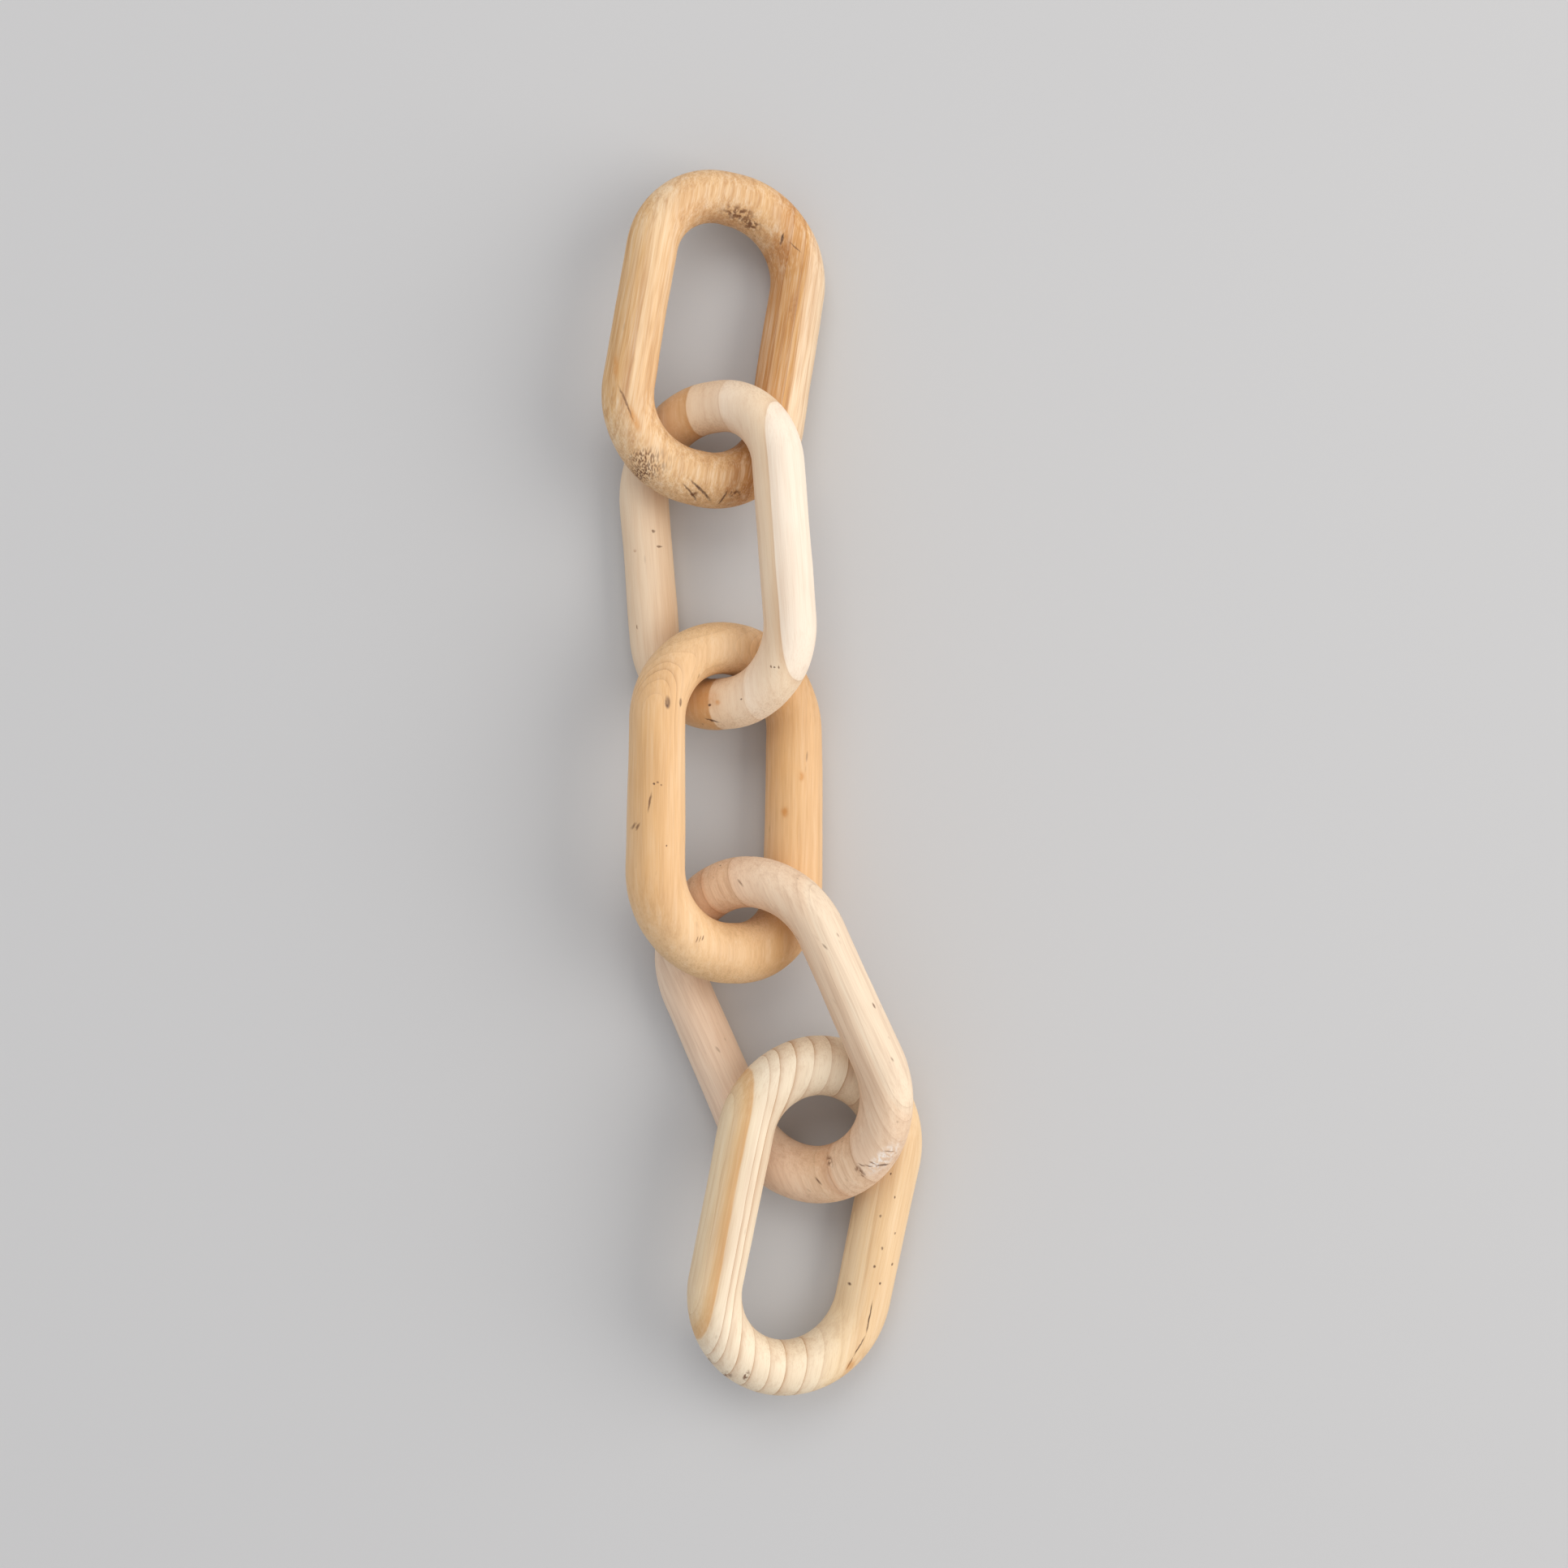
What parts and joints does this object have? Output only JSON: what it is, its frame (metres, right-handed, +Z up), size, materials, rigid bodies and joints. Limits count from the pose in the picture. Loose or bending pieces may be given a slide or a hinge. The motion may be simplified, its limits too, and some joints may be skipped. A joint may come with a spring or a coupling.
{
  "type": "wooden chain",
  "caption": "Chain of hand-carved oval links of round wood, linked without a joint, lying flat in a slightly bent row.",
  "frame": {"origin": "middle of the row's footprint, on the surface that it lies on", "axes": "+Y along the row, towards link_1; +Z up, away from the surface; +X across the row"},
  "size_m": [0.1538, 0.592, 0.0684],
  "materials": {
    "honey_pine": "hand-carved and sanded, waxed matt",
    "cream_poplar": "hand-carved and sanded, bare",
    "amber_pine": "hand-carved and sanded, waxed matt",
    "flecked_beech": "hand-carved and sanded, bare",
    "striped_pine": "hand-carved and sanded, bare"
  },
  "bodies": {
    "root": {"link_1": "honey_pine", "link_2": "cream_poplar", "link_3": "amber_pine", "link_4": "flecked_beech", "link_5": "striped_pine"}
  },
  "joints": []
}
